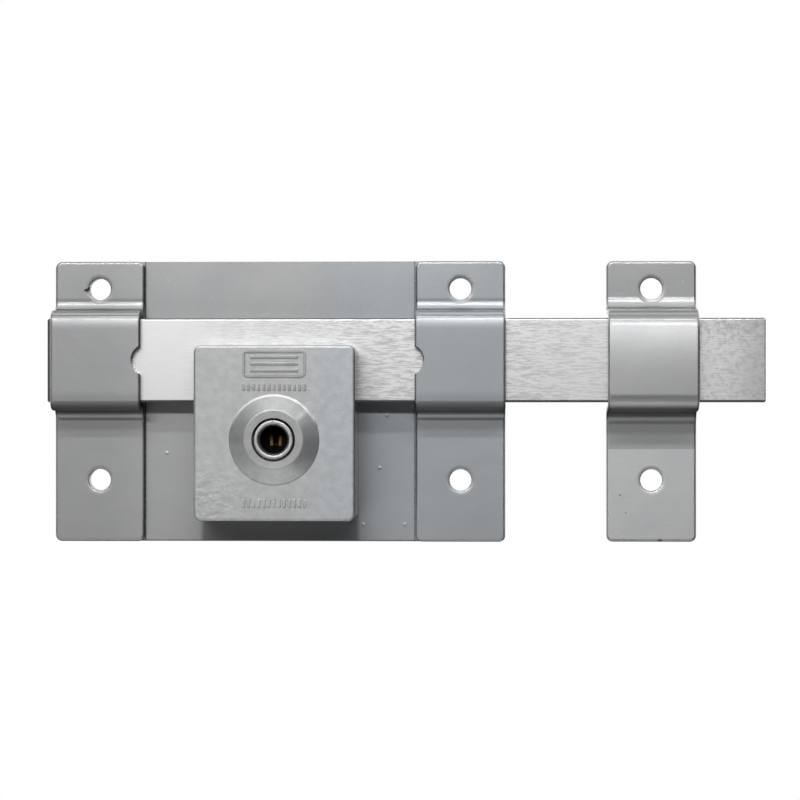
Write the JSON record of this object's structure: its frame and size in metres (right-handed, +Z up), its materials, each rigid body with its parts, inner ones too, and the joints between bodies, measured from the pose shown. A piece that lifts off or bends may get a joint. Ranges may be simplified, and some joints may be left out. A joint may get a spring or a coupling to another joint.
{
  "type": "rim lock",
  "caption": "Surface rim lock: grey plate with folded guide straps, a cast key housing, a flat sliding steel bar that a key-turned dog locks, and a keeper strap for the frame.",
  "frame": {"origin": "middle of the four screw holes, on the back face of the plate", "axes": "+X along the bar towards the keeper, +Z up, +Y into the door; the lock faces -Y"},
  "size_m": [0.217, 0.027, 0.0856],
  "materials": {
    "grey_paint": "satin grey enamel on sheet steel",
    "cast_paint": "satin grey enamel over a slightly lumpy casting",
    "bar_steel": "cold drawn, fine streaks along the bar",
    "sleeve_steel": "turned, bright",
    "plug_brass": "machined",
    "body_brass": "machined",
    "spring_steel": "drawn wire",
    "zinc_steel": "zinc plated"
  },
  "bodies": {
    "case": {"back_plate": "grey_paint", "guide_strap_left": "grey_paint", "guide_strap_right": "grey_paint", "keeper_strap": "grey_paint", "lock_housing": "cast_paint", "housing_screws": "zinc_steel", "nose_sleeve": "sleeve_steel", "cylinder_body": "body_brass", "chamber_cover": "plug_brass", "cylinder_screws": "zinc_steel", "driver_pins": "plug_brass", "pin_springs": "spring_steel"},
    "bar": {"slide_bar": "bar_steel"},
    "plug": {"cylinder_plug": "plug_brass", "front_key_pin": "plug_brass", "middle_key_pin": "plug_brass", "rear_key_pin": "plug_brass", "cam_disc": "zinc_steel", "cam_pin": "zinc_steel", "cam_screw": "zinc_steel"},
    "dog": {"locking_dog": "zinc_steel"}
  },
  "joints": [
    {"name": "bar_slide", "type": "slide", "parent": "case", "child": "bar", "axis": [1, 0, 0], "range_m": [-0.077, 0]},
    {"name": "plug_turn", "type": "hinge", "parent": "case", "child": "plug", "pos_m": [0, -0.012, -0.01655], "axis": [0, 1, 0], "range_deg": [0, 90]},
    {"name": "dog_lift", "type": "slide", "parent": "case", "child": "dog", "axis": [0, 0, 1], "range_m": [0, 0.00566]}
  ],
  "couplings": [
    {"joint": "dog_lift", "follows": "plug_turn", "m_per_rad": 0.0036013}
  ]
}
